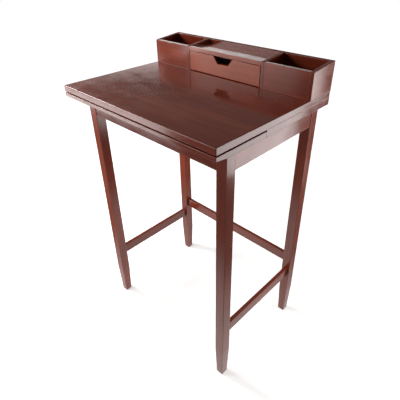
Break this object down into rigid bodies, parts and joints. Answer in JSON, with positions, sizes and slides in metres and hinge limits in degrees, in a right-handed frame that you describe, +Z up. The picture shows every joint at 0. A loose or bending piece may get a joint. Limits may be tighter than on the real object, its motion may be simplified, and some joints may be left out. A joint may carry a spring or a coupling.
{
  "type": "standing desk",
  "caption": "Standing-height wooden writing desk with a pull-out leaf under the top and a low rear organizer that holds open bays, a sunk pen tray and a small drawer.",
  "frame": {"origin": "on the floor, under the middle of the desk's outline", "axes": "+X to the writer's right, +Y to the rear, +Z up"},
  "size_m": [0.728, 0.558, 1.16],
  "materials": {
    "stained_beech": "stained reddish brown under satin lacquer",
    "plain_wood": "planed, unfinished",
    "screw_steel": "bright zinc",
    "felt": "pressed felt",
    "glide_plastic": "moulded, satin"
  },
  "bodies": {
    "frame": {"apron_front": "stained_beech", "apron_left": "stained_beech", "apron_rear": "stained_beech", "apron_right": "stained_beech", "cleat_screws": "screw_steel", "corner_block_front_left": "plain_wood", "corner_block_front_right": "plain_wood", "corner_block_rear_left": "plain_wood", "corner_block_rear_right": "plain_wood", "corner_block_screws": "screw_steel", "drawer_stop": "plain_wood", "foot_glides": "glide_plastic", "leaf_bearer": "plain_wood", "leaf_felt_pads": "felt", "leg_front_left": "stained_beech", "leg_front_right": "stained_beech", "leg_rear_left": "stained_beech", "leg_rear_right": "stained_beech", "organizer_back": "stained_beech", "organizer_base_dowels": "plain_wood", "organizer_divider_left": "stained_beech", "organizer_divider_right": "stained_beech", "organizer_dowels": "plain_wood", "organizer_front_left": "stained_beech", "organizer_front_right": "stained_beech", "organizer_side_left": "stained_beech", "organizer_side_right": "stained_beech", "stretcher_left": "stained_beech", "stretcher_rear": "stained_beech", "stretcher_right": "stained_beech", "top_board": "stained_beech", "top_board_screws": "screw_steel", "top_cleat_left": "plain_wood", "top_cleat_right": "plain_wood", "top_fixing_screws": "screw_steel", "tray_board": "stained_beech", "tray_rail": "stained_beech", "under_board": "stained_beech"},
    "leaf": {"pull_out_leaf": "stained_beech", "leaf_runner_left": "plain_wood", "leaf_runner_right": "plain_wood", "leaf_screws": "screw_steel", "leaf_stop_pins": "plain_wood"},
    "drawer": {"drawer_front": "stained_beech", "drawer_side_left": "plain_wood", "drawer_side_right": "plain_wood", "drawer_back": "plain_wood", "drawer_bottom": "plain_wood", "drawer_nails": "screw_steel"}
  },
  "joints": [
    {"name": "leaf_slide", "type": "slide", "parent": "frame", "child": "leaf", "axis": [0, -1, 0], "range_m": [0, 0.12]},
    {"name": "drawer_slide", "type": "slide", "parent": "frame", "child": "drawer", "axis": [0, -1, 0], "range_m": [0, 0.07]}
  ]
}
